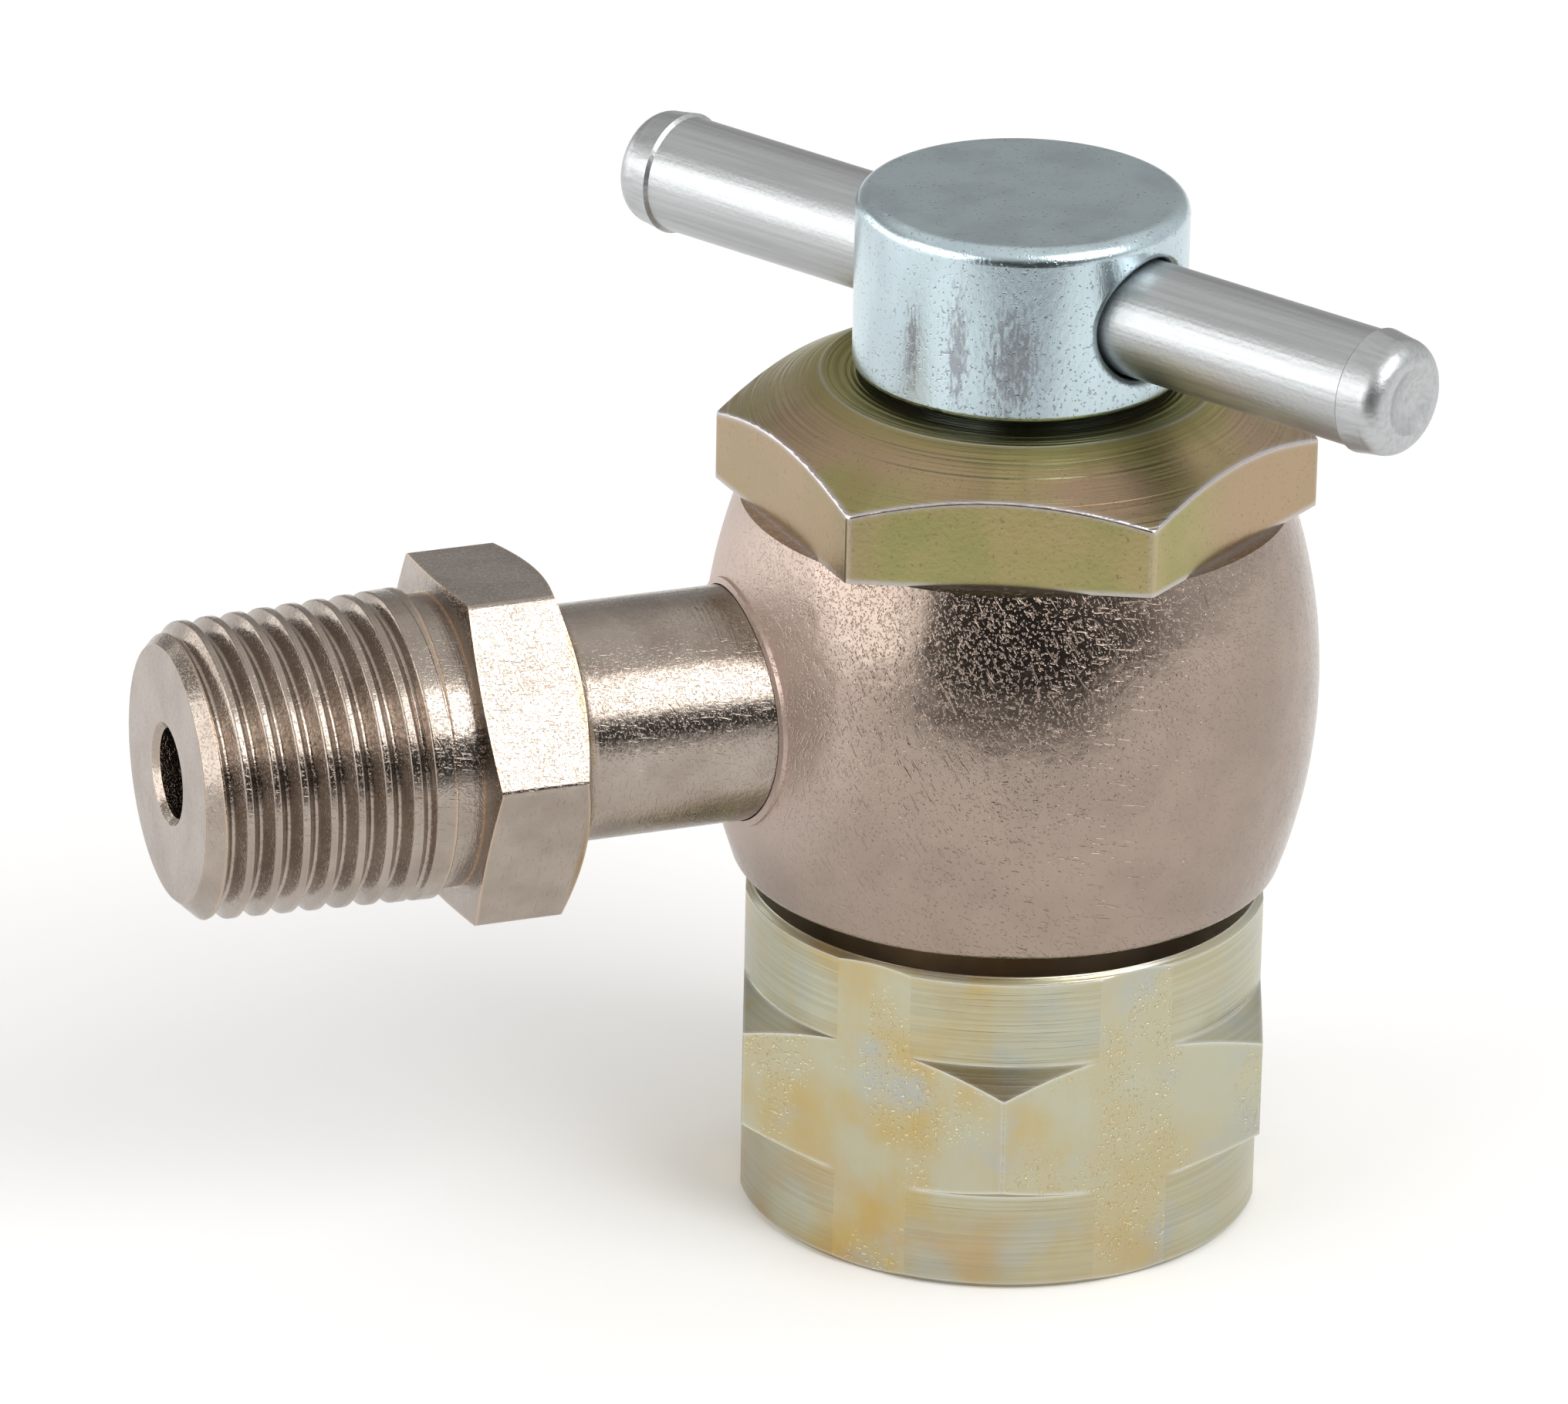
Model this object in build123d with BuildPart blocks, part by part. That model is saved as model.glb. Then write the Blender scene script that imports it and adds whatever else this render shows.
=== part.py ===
"""T-handle gas charging chuck: barrel body, swivel nut, threaded outlet nipple and core-pressing spindle.

Millimetres. The origin is the centre of the swivel nut's mouth, +Z runs up the spindle, and the outlet
nipple points along -X.
"""

import os
from math import asin, cos, degrees, radians, sin, tan

from build123d import *

os.makedirs("parts", exist_ok=True)

# Clearances
thread_clearance = 0.05
thread_end_gap = 0.2
running_clearance = 0.08
seal_clearance = 0.05
seal_play = 0.03
braze_gap = 0.03
flange_clearance = 0.25
flange_play = 0.12
shoulder_gap = 0.1
boss_gap = 0.15
head_gap = 0.38
tail_gap = 0.38
stop_gap = 0.14
stop_ring_gap = 0.3
pin_tip_gap = 0.25
bar_hole_clearance = 0.075

# Swivel nut, hexagon bar turned round at both ends
nut_height = 11.45
nut_across_flats = 17.5
nut_corner_turn = 9.4
nut_turned_proud = 0.11
nut_band_low = 3.45
nut_band_high = 8.25
nut_chamfer_angle = 30
nut_edge_break = 0.22
nut_corner_rounding = 0.12
nut_mouth_chamfer = 0.4
nut_thread_radius = 5.72
nut_thread_depth = 0.63
nut_thread_top = 5.6
nut_lip_height = 2.35

# Barrel body
swivel_gap = 0.87
barrel_height = 13.06
barrel_end_radius = 9.25
barrel_middle_radius = 10.4
barrel_low_rounding = 0.3
boss_radius = 6.5
port_radius = 1.2
port_roof = 0.1
port_bead_width = 0.24
port_bead_height = 0.14
chamber_radius = 3.4
web_height = 0.9
passage_radius = 2.2
socket_wall = 1.5

# Swivel stem, the hollow screw that carries the nut
stem_neck_radius = 4.5
stem_flange_height = 2.1
stem_thread_radius = 3.97
stem_bore_radius = 1.9
stem_gasket_height = 0.6
key_across_flats = 4.76
key_depth = 1.8

# Nose seal under the stem's flange
nose_seal_radius = 4.6
nose_seal_bore_radius = 2.1
nose_seal_height = 1.5
nose_seal_proud = 0.4

# Outlet nipple, turned from hexagon bar and brazed into the barrel
nipple_reach = 29.65
nipple_bore_radius = 1.52
nipple_bore_chamfer = 0.22
nipple_face_drop = 0.67
nipple_face_chamfer = 0.7
nipple_thread_small_radius = 4.95
nipple_thread_length = 7.65
nipple_thread_pitch = 25.4 / 27
nipple_thread_depth = 0.54
nipple_thread_root = 0.1
nipple_thread_overcut = 0.1
nipple_thread_flank_angle = 30
nipple_taper = 1 / 32
nipple_neck_drop = 0.29
nipple_neck_length = 1.0
nipple_hex_across_flats = 11.11
nipple_hex_thickness = 3.5
nipple_hex_turn = 54.5
nipple_hex_outer_chamfer_angle = 7.5
nipple_hex_inner_chamfer_angle = 25
nipple_hex_corner_rounding = 0.3
nipple_hex_face_inset = 0.055
nipple_tube_radius = 3.97
nipple_root_rounding = 0.8

# Bonnet nut
bonnet_across_flats = 17.46
bonnet_corner_turn = 35.4
bonnet_corner_height = 2.33
bonnet_cone_angle = 29
bonnet_corner_rounding = 0.2
bonnet_rim_rounding = 0.1
bonnet_land_radius = 6.6
bonnet_spigot_radius = 7.1
bonnet_spigot_length = 4.48
bonnet_thread_length = 4.64
bonnet_gasket_height = 0.6

# Spindle
spindle_pitch = 25.4 / 28
spindle_turns = 2
head_radius = 5.56
head_height = 6.02
head_rim_rounding = 0.55
head_foot_rounding = 0.2
spindle_thread_radius = 3.175
spindle_land_drop = 0.245
spindle_land_end = 0.6
seal_bore_end = 0.17
spindle_tail_radius = 2.2
spindle_tail_end = 0.55
stop_groove_depth = 0.45

# Seal set and stop ring
o_ring_section_radius = 0.44
backup_ring_height = 0.45
stop_ring_height = 0.6

# Depressor pin
pin_radius = 1.1
pin_grip = 2.8
pin_tip_rounding = 0.35

# Tommy bar
bar_radius = 1.985
bar_length = 32.4
bar_turn = -60
bar_drop = 0.08
bar_upset = 0.115
bar_upset_length = 1.5
bar_nose_radius = 1.15
bar_nose_length = 0.75
bar_dimple_depth = 0.3
bar_hole_rounding = 0.3

# Hexagons: corner radius for each millimetre across the flats
hexagon_corner = 0.5 / cos(radians(30))
nut_corner_radius = nut_across_flats * hexagon_corner
bonnet_corner_radius = bonnet_across_flats * hexagon_corner
nipple_corner_radius = nipple_hex_across_flats * hexagon_corner

# Heights that follow, from the nut up to the bar
lip_low = nut_height - nut_lip_height
flange_high = lip_low - flange_play
flange_low = flange_high - stem_flange_height
nose_seal_low = flange_low - nose_seal_proud
nose_seal_high = nose_seal_low + nose_seal_height
boss_low = nut_height + boss_gap
barrel_low = nut_height + swivel_gap
barrel_middle = barrel_low + barrel_height / 2
barrel_high = barrel_low + barrel_height
spigot_low = barrel_high - bonnet_spigot_length
bonnet_floor = spigot_low - bonnet_gasket_height
port_z = bonnet_floor - port_roof - port_radius
bonnet_corner_z = barrel_high + bonnet_corner_height
bonnet_cone_rise = (bonnet_corner_radius - bonnet_land_radius) * tan(radians(bonnet_cone_angle))
bonnet_top = bonnet_corner_z + bonnet_cone_rise
bonnet_thread_low = bonnet_top - bonnet_thread_length
head_low = bonnet_top + head_gap
head_high = head_low + head_height
bar_z = (head_low + head_high) / 2 - bar_drop

# Heights that follow, from the bonnet's thread down the spindle
spindle_travel = spindle_pitch * spindle_turns
spindle_thread_low = bonnet_thread_low + thread_end_gap
groove_high = bonnet_thread_low - spindle_travel - seal_bore_end
groove_low = groove_high - 2 * o_ring_section_radius - 2 * backup_ring_height - 4 * seal_play
spindle_land_low = groove_low - spindle_land_end
stop_ring_high = spigot_low - spindle_travel - stop_gap
stop_ring_low = stop_ring_high - stop_ring_height
spindle_low = stop_ring_low - spindle_tail_end
chamber_low = spindle_low - tail_gap
stem_hole_top = chamber_low - web_height
stem_thread_top = stem_hole_top - stem_gasket_height
pin_low = nut_thread_top + pin_tip_gap

# Radii that follow
nut_turned_radius = nut_across_flats / 2 + nut_turned_proud
nut_relief_radius = nut_thread_radius + nut_thread_depth
flange_radius = nut_thread_radius - flange_clearance
spindle_land_radius = spindle_thread_radius - spindle_land_drop
seal_bore_radius = spindle_land_radius + seal_clearance
seal_groove_radius = spindle_land_radius - 2 * o_ring_section_radius - seal_clearance
stop_groove_radius = spindle_tail_radius - stop_groove_depth
stop_ring_radius = chamber_radius - stop_ring_gap
thread_large_radius = nipple_thread_small_radius + nipple_thread_length * nipple_taper
nipple_face_radius = nipple_thread_small_radius - nipple_face_drop
nipple_neck_radius = thread_large_radius - nipple_neck_drop
nipple_hex_face_radius = nipple_hex_across_flats / 2 - nipple_hex_face_inset
bar_upset_radius = bar_radius + bar_upset

# Places along the nipple, counted from the spindle's axis
nipple_axis = Axis((0, 0, port_z), (1, 0, 0))
nipple_socket_floor = bonnet_spigot_radius + socket_wall
nipple_thread_end = nipple_reach - nipple_face_chamfer - nipple_thread_length
nipple_hex_outer = nipple_thread_end - nipple_neck_length
nipple_hex_inner = nipple_hex_outer - nipple_hex_thickness


# Swivel nut
nut_chamfer_rise = (nut_corner_radius - nut_turned_radius) * tan(radians(nut_chamfer_angle))
with BuildPart() as swivel_nut:
    with BuildSketch() as nut_hexagon:
        RegularPolygon(nut_corner_radius, 6, rotation=nut_corner_turn)
        fillet(nut_hexagon.vertices(), nut_corner_rounding)
    extrude(amount=nut_height)
    with BuildSketch(Plane.XZ):
        with BuildLine():
            Polyline(
                (0, 0),
                (nut_turned_radius - nut_edge_break, 0),
                (nut_turned_radius, nut_edge_break),
                (nut_turned_radius, nut_band_low),
                (nut_corner_radius, nut_band_low + nut_chamfer_rise),
                (nut_corner_radius, nut_band_high - nut_chamfer_rise),
                (nut_turned_radius, nut_band_high),
                (nut_turned_radius, nut_height - nut_edge_break),
                (nut_turned_radius - nut_edge_break, nut_height),
                (0, nut_height),
                close=True,
            )
        make_face()
    revolve(axis=Axis.Z, mode=Mode.INTERSECT)
    with BuildSketch(Plane.XZ):
        with BuildLine():
            Polyline(
                (0, 0),
                (nut_thread_radius + nut_mouth_chamfer, 0),
                (nut_thread_radius, nut_mouth_chamfer),
                (nut_thread_radius, nut_thread_top),
                (nut_relief_radius, nut_thread_top + nut_thread_depth),
                (nut_relief_radius, lip_low),
                (stem_neck_radius + running_clearance, lip_low),
                (stem_neck_radius + running_clearance, nut_height),
                (0, nut_height),
                close=True,
            )
        make_face()
    revolve(axis=Axis.Z, mode=Mode.SUBTRACT)
swivel_nut.part.label = "swivel_nut"
export_step(swivel_nut.part, "parts/swivel_nut.step")


# Bead round the nipple's socket, a skin that follows the barrel's curve
with BuildPart() as port_bead:
    with BuildSketch(Plane.XZ):
        with BuildLine():
            Line((0, barrel_low), (barrel_end_radius + port_bead_height, barrel_low))
            ThreePointArc(
                (barrel_end_radius + port_bead_height, barrel_low),
                (barrel_middle_radius + port_bead_height, barrel_middle),
                (barrel_end_radius + port_bead_height, barrel_high),
            )
            Line((barrel_end_radius + port_bead_height, barrel_high), (0, barrel_high))
            Line((0, barrel_high), (0, barrel_low))
        make_face()
    revolve(axis=Axis.Z)
    with BuildSketch(Plane.YZ.offset(-nipple_socket_floor)):
        with Locations((0, port_z)):
            Circle(nipple_tube_radius + port_bead_width)
    extrude(amount=-barrel_middle_radius, mode=Mode.INTERSECT)


# Barrel body
with BuildPart() as valve_body:
    with BuildSketch(Plane.XZ):
        with BuildLine():
            Line((0, barrel_low), (barrel_end_radius, barrel_low))
            ThreePointArc(
                (barrel_end_radius, barrel_low),
                (barrel_middle_radius, barrel_middle),
                (barrel_end_radius, barrel_high),
            )
            Line((barrel_end_radius, barrel_high), (0, barrel_high))
            Line((0, barrel_high), (0, barrel_low))
        make_face()
    revolve(axis=Axis.Z)
    fillet(valve_body.edges().filter_by(GeomType.CIRCLE).sort_by(Axis.Z)[0], barrel_low_rounding)
    with BuildSketch(Plane.XY.offset(boss_low)):
        Circle(boss_radius)
    extrude(amount=barrel_low - boss_low)
    add(port_bead.part)
    with BuildSketch(Plane.XZ):
        with BuildLine():
            Polyline(
                (0, boss_low),
                (stem_thread_radius + thread_clearance, boss_low),
                (stem_thread_radius + thread_clearance, stem_hole_top),
                (passage_radius, stem_hole_top),
                (passage_radius, chamber_low),
                (chamber_radius, chamber_low),
                (chamber_radius, bonnet_floor),
                (bonnet_spigot_radius + thread_clearance, bonnet_floor),
                (bonnet_spigot_radius + thread_clearance, barrel_high),
                (0, barrel_high),
                close=True,
            )
        make_face()
    revolve(axis=Axis.Z, mode=Mode.SUBTRACT)
    with BuildSketch(Plane.YZ.offset(-nipple_socket_floor)):
        with Locations((0, port_z)):
            Circle(nipple_tube_radius + braze_gap)
    extrude(amount=-barrel_middle_radius, mode=Mode.SUBTRACT)
    with BuildSketch(Plane.YZ.offset(-nipple_socket_floor)):
        with Locations((0, port_z)):
            Circle(port_radius)
    extrude(amount=nipple_socket_floor, mode=Mode.SUBTRACT)
valve_body.part.label = "valve_body"
export_step(valve_body.part, "parts/valve_body.step")


# Swivel stem
with BuildPart() as swivel_stem:
    with BuildSketch(Plane.XZ):
        with BuildLine():
            Polyline(
                (stem_bore_radius, nose_seal_high),
                (nose_seal_radius + seal_clearance, nose_seal_high),
                (nose_seal_radius + seal_clearance, flange_low),
                (flange_radius, flange_low),
                (flange_radius, flange_high),
                (stem_neck_radius, flange_high),
                (stem_neck_radius, boss_low - shoulder_gap),
                (stem_thread_radius, boss_low - shoulder_gap),
                (stem_thread_radius, stem_thread_top),
                (stem_bore_radius, stem_thread_top),
                close=True,
            )
        make_face()
    revolve(axis=Axis.Z)
    with BuildSketch(Plane.XY.offset(nose_seal_high)):
        RegularPolygon(key_across_flats / 2, 6, major_radius=False)
    extrude(amount=key_depth, mode=Mode.SUBTRACT)
swivel_stem.part.label = "swivel_stem"
export_step(swivel_stem.part, "parts/swivel_stem.step")


# Stem gasket
with BuildPart() as stem_gasket:
    with BuildSketch(Plane.XY.offset(stem_thread_top)):
        Circle(stem_thread_radius - seal_clearance)
        Circle(passage_radius, mode=Mode.SUBTRACT)
    extrude(amount=stem_gasket_height)
stem_gasket.part.label = "stem_gasket"
export_step(stem_gasket.part, "parts/stem_gasket.step")


# Nose seal
with BuildPart() as nose_seal:
    with BuildSketch(Plane.XY.offset(nose_seal_low)):
        Circle(nose_seal_radius)
        Circle(nose_seal_bore_radius, mode=Mode.SUBTRACT)
    extrude(amount=nose_seal_height)
nose_seal.part.label = "nose_seal"
export_step(nose_seal.part, "parts/nose_seal.step")


# Outlet nipple
nipple_chamfer_depth = nipple_corner_radius - nipple_hex_face_radius
nipple_outer_chamfer_rise = nipple_chamfer_depth * tan(radians(nipple_hex_outer_chamfer_angle))
nipple_inner_chamfer_rise = nipple_chamfer_depth * tan(radians(nipple_hex_inner_chamfer_angle))
root_high = port_z + nipple_tube_radius + nipple_root_rounding
groove_reach = (nipple_thread_depth + nipple_thread_overcut) * tan(radians(nipple_thread_flank_angle))
groove_half_top = nipple_thread_root / 2 + groove_reach
groove_count = int(nipple_thread_length / nipple_thread_pitch)
with BuildPart() as outlet_nipple:
    with BuildSketch(Plane.YZ.offset(-nipple_hex_outer)) as nipple_hexagon:
        with Locations((0, port_z)):
            RegularPolygon(nipple_corner_radius, 6, rotation=nipple_hex_turn)
        fillet(nipple_hexagon.vertices(), nipple_hex_corner_rounding)
    extrude(amount=nipple_hex_thickness)
    with BuildSketch(Plane.XZ):
        with BuildLine():
            Polyline(
                (-nipple_hex_outer, port_z),
                (-nipple_hex_outer, port_z + nipple_hex_face_radius),
                (-nipple_hex_outer + nipple_outer_chamfer_rise, port_z + nipple_corner_radius),
                (-nipple_hex_inner - nipple_inner_chamfer_rise, port_z + nipple_corner_radius),
                (-nipple_hex_inner, port_z + nipple_hex_face_radius),
                (-nipple_hex_inner, port_z),
                close=True,
            )
        make_face()
    revolve(axis=nipple_axis, mode=Mode.INTERSECT)
    with BuildSketch(Plane.XZ):
        with BuildLine():
            Polyline(
                (-nipple_hex_inner - nipple_root_rounding, port_z),
                (-nipple_hex_outer, port_z),
                (-nipple_reach, port_z),
                (-nipple_reach, port_z + nipple_face_radius),
                (-nipple_reach + nipple_face_chamfer, port_z + nipple_thread_small_radius),
                (-nipple_thread_end, port_z + thread_large_radius),
                (-nipple_thread_end, port_z + nipple_neck_radius),
                (-nipple_hex_outer, port_z + nipple_neck_radius),
                (-nipple_hex_inner - nipple_root_rounding, port_z + nipple_neck_radius),
                close=True,
            )
        make_face()
    revolve(axis=nipple_axis)
    # Thread, as plain rings of its true pitch, depth and taper
    with BuildSketch(Plane.XZ):
        for groove in range(groove_count):
            along = (groove + 0.5) * nipple_thread_pitch
            groove_x = -nipple_reach + nipple_face_chamfer + along
            crest_z = port_z + nipple_thread_small_radius + along * nipple_taper
            Polygon(
                (groove_x - groove_half_top, crest_z + nipple_thread_overcut),
                (groove_x - nipple_thread_root / 2, crest_z - nipple_thread_depth),
                (groove_x + nipple_thread_root / 2, crest_z - nipple_thread_depth),
                (groove_x + groove_half_top, crest_z + nipple_thread_overcut),
                align=None,
            )
    revolve(axis=nipple_axis, mode=Mode.SUBTRACT)
    with BuildSketch(Plane.XZ):
        with BuildLine():
            Line((-nipple_hex_inner, port_z), (-nipple_hex_inner, root_high))
            RadiusArc(
                (-nipple_hex_inner, root_high),
                (-nipple_hex_inner + nipple_root_rounding, port_z + nipple_tube_radius),
                -nipple_root_rounding,
            )
            Polyline(
                (-nipple_hex_inner + nipple_root_rounding, port_z + nipple_tube_radius),
                (-nipple_socket_floor, port_z + nipple_tube_radius),
                (-nipple_socket_floor, port_z),
                (-nipple_hex_inner, port_z),
            )
        make_face()
    revolve(axis=nipple_axis)
    with BuildSketch(Plane.XZ):
        with BuildLine():
            Polyline(
                (-nipple_reach, port_z),
                (-nipple_reach, port_z + nipple_bore_radius + nipple_bore_chamfer),
                (-nipple_reach + nipple_bore_chamfer, port_z + nipple_bore_radius),
                (-nipple_socket_floor, port_z + nipple_bore_radius),
                (-nipple_socket_floor, port_z),
                close=True,
            )
        make_face()
    revolve(axis=nipple_axis, mode=Mode.SUBTRACT)
outlet_nipple.part.label = "outlet_nipple"
export_step(outlet_nipple.part, "parts/outlet_nipple.step")


# Bonnet nut
with BuildPart() as bonnet_nut:
    with BuildSketch(Plane.XY.offset(barrel_high)) as bonnet_hexagon:
        RegularPolygon(bonnet_corner_radius, 6, rotation=bonnet_corner_turn)
        fillet(bonnet_hexagon.vertices(), bonnet_corner_rounding)
    extrude(amount=bonnet_top - barrel_high)
    with BuildSketch(Plane.XZ):
        with BuildLine():
            Polyline(
                (0, barrel_high),
                (bonnet_corner_radius, barrel_high),
                (bonnet_corner_radius, bonnet_corner_z),
                (bonnet_land_radius, bonnet_top),
                (0, bonnet_top),
                close=True,
            )
        make_face()
    revolve(axis=Axis.Z, mode=Mode.INTERSECT)
    bonnet_cone = bonnet_nut.faces().filter_by(GeomType.CONE)[0]
    fillet(bonnet_cone.edges().filter_by(GeomType.CIRCLE, reverse=True), bonnet_rim_rounding)
    with BuildSketch(Plane.XY.offset(spigot_low)):
        Circle(bonnet_spigot_radius)
    extrude(amount=bonnet_spigot_length)
    with BuildSketch(Plane.XY.offset(bonnet_thread_low)):
        Circle(spindle_thread_radius + thread_clearance)
    extrude(amount=bonnet_thread_length, mode=Mode.SUBTRACT)
    with BuildSketch(Plane.XY.offset(spigot_low)):
        Circle(seal_bore_radius)
    extrude(amount=bonnet_thread_low - spigot_low, mode=Mode.SUBTRACT)
bonnet_nut.part.label = "bonnet_nut"
export_step(bonnet_nut.part, "parts/bonnet_nut.step")


# Bonnet gasket
with BuildPart() as bonnet_gasket:
    with BuildSketch(Plane.XY.offset(bonnet_floor)):
        Circle(bonnet_spigot_radius - seal_clearance)
        Circle(chamber_radius, mode=Mode.SUBTRACT)
    extrude(amount=bonnet_gasket_height)
bonnet_gasket.part.label = "bonnet_gasket"
export_step(bonnet_gasket.part, "parts/bonnet_gasket.step")


# Spindle, head and threaded shank in one
bar_direction = Vector(cos(radians(bar_turn)), sin(radians(bar_turn)), 0)
bar_hole_plane = Plane(origin=(0, 0, bar_z), z_dir=bar_direction)
with BuildPart() as spindle:
    with BuildSketch(Plane.XZ):
        with BuildLine():
            Polyline(
                (0, spindle_low),
                (spindle_tail_radius, spindle_low),
                (spindle_tail_radius, stop_ring_low),
                (stop_groove_radius, stop_ring_low),
                (stop_groove_radius, stop_ring_high),
                (spindle_tail_radius, stop_ring_high),
                (spindle_tail_radius, spindle_land_low),
                (spindle_land_radius, spindle_land_low),
                (spindle_land_radius, groove_low),
                (seal_groove_radius, groove_low),
                (seal_groove_radius, groove_high),
                (spindle_land_radius, groove_high),
                (spindle_land_radius, spindle_thread_low),
                (spindle_thread_radius, spindle_thread_low),
                (spindle_thread_radius, head_low),
                (head_radius, head_low),
                (head_radius, head_high),
                (0, head_high),
                close=True,
            )
        make_face()
    revolve(axis=Axis.Z)
    head_rings = spindle.edges().filter_by(GeomType.CIRCLE).filter_by(lambda e: e.radius == head_radius)
    fillet(head_rings.sort_by(Axis.Z)[-1], head_rim_rounding)
    fillet(head_rings.sort_by(Axis.Z)[0], head_foot_rounding)
    with BuildSketch(bar_hole_plane):
        Circle(bar_radius + bar_hole_clearance)
    extrude(amount=head_radius, both=True, mode=Mode.SUBTRACT)
    fillet(spindle.edges(Select.LAST).filter_by(GeomType.CIRCLE, reverse=True), bar_hole_rounding)
    with BuildSketch(Plane.XY.offset(spindle_low)):
        Circle(pin_radius)
    extrude(amount=pin_grip, mode=Mode.SUBTRACT)
spindle.part.label = "spindle"
export_step(spindle.part, "parts/spindle.step")


# Spindle O-ring
with BuildPart() as spindle_o_ring:
    with BuildSketch(Plane.XZ):
        with Locations((spindle_land_radius - o_ring_section_radius, (groove_low + groove_high) / 2)):
            Circle(o_ring_section_radius)
    revolve(axis=Axis.Z)
spindle_o_ring.part.label = "spindle_o_ring"
export_step(spindle_o_ring.part, "parts/spindle_o_ring.step")


# Backup rings above and below the O-ring
backup_lows = {
    "lower_backup_ring": groove_low + seal_play,
    "upper_backup_ring": groove_high - seal_play - backup_ring_height,
}
for ring_name, ring_low in backup_lows.items():
    with BuildPart() as backup_ring:
        with BuildSketch(Plane.XY.offset(ring_low)):
            Circle(spindle_land_radius)
            Circle(seal_groove_radius + seal_clearance, mode=Mode.SUBTRACT)
        extrude(amount=backup_ring_height)
    backup_ring.part.label = ring_name
    export_step(backup_ring.part, f"parts/{ring_name}.step")


# Spindle stop ring
with BuildPart() as spindle_stop_ring:
    with BuildSketch(Plane.XY.offset(stop_ring_low)):
        Circle(stop_ring_radius)
        Circle(stop_groove_radius, mode=Mode.SUBTRACT)
    extrude(amount=stop_ring_height)
spindle_stop_ring.part.label = "spindle_stop_ring"
export_step(spindle_stop_ring.part, "parts/spindle_stop_ring.step")


# Depressor pin
with BuildPart() as depressor_pin:
    with BuildSketch(Plane.XY.offset(pin_low)):
        Circle(pin_radius)
    extrude(amount=spindle_low + pin_grip - pin_low)
    fillet(depressor_pin.edges().sort_by(Axis.Z)[0], pin_tip_rounding)
depressor_pin.part.label = "depressor_pin"
export_step(depressor_pin.part, "parts/depressor_pin.step")


# Tommy bar, its outline mirrored about the middle
bar_plane = Plane(origin=(0, 0, bar_z), x_dir=bar_direction, z_dir=bar_direction.cross(Vector(0, 0, 1)))
bar_half = bar_length / 2
bar_shoulder = bar_half - bar_upset_length
bar_nose_start = bar_half - bar_nose_length
dimple_radius = (bar_nose_radius**2 + bar_dimple_depth**2) / (2 * bar_dimple_depth)
dimple_angle = degrees(asin(bar_nose_radius / dimple_radius))
with BuildPart() as tommy_bar:
    with BuildSketch(bar_plane):
        with BuildLine():
            Polyline(
                (bar_half - bar_dimple_depth, 0),
                (0, 0),
                (0, bar_radius),
                (bar_shoulder - (bar_upset_radius - bar_radius), bar_radius),
                (bar_shoulder, bar_upset_radius),
                (bar_nose_start, bar_radius),
            )
            TangentArc((bar_nose_start, bar_radius), (bar_half, bar_nose_radius), tangent=(1, 0))
            CenterArc(
                (bar_half - bar_dimple_depth + dimple_radius, 0),
                dimple_radius,
                start_angle=180 - dimple_angle,
                arc_size=dimple_angle,
            )
        make_face()
        mirror(about=Plane.YZ)
    revolve(axis=Axis((0, 0, bar_z), bar_direction))
tommy_bar.part.label = "tommy_bar"
export_step(tommy_bar.part, "parts/tommy_bar.step")
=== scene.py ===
"""T-handle gas charging chuck: finishes, cut threads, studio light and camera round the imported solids."""

from math import atan2, ceil, cos, hypot, pi, radians, sin, tan

import bmesh
import bpy
from mathutils import Matrix, Vector


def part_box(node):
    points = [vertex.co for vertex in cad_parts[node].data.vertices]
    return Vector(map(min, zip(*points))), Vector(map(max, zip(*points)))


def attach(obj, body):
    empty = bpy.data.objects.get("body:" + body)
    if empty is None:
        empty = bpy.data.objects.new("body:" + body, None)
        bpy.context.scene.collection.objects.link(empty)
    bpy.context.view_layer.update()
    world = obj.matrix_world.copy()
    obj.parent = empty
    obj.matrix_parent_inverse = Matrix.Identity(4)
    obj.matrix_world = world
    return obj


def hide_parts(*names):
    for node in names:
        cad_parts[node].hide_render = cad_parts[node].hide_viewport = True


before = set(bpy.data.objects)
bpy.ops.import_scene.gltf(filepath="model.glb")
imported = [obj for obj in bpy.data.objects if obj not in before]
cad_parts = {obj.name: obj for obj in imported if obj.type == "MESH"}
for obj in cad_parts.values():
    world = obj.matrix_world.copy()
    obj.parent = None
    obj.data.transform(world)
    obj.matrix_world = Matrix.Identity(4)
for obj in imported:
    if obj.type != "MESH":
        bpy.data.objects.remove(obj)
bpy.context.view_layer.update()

# A millimetre, how near corners are merged, and the gap that is closed round a thread's skin
MM = 0.001
WELD = 0.002 * MM
RIM_GAP = 10 * WELD

# A Mix node's setting for colours, and the places of its colour sockets
COLOURS = {"data_type": "RGBA"}
SHARE, UNDER, OVER, MIXED = 0, 6, 7, 2

# About where the outlet's tube enters the barrel, in millimetres
TUBE_ROOT = (-9.5, 0.0, 20.0)


# Helpers for materials

def colour(code):
    """An sRGB hex code as linear red, green, blue and alpha."""
    channels = [int(code[i:i + 2], 16) / 255 for i in (1, 3, 5)]
    return [c / 12.92 if c <= 0.04045 else ((c + 0.055) / 1.055) ** 2.4 for c in channels] + [1.0]


def add(tree, kind, settings, inputs):
    """Add a node. An input is a plain value, or the socket that it is linked from."""
    node = tree.nodes.new("ShaderNode" + kind)
    for name, value in settings.items():
        setattr(node, name, value)
    for name, value in inputs.items():
        if isinstance(value, bpy.types.NodeSocket):
            tree.links.new(value, node.inputs[name])
        else:
            node.inputs[name].default_value = value
    return node.outputs


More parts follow.
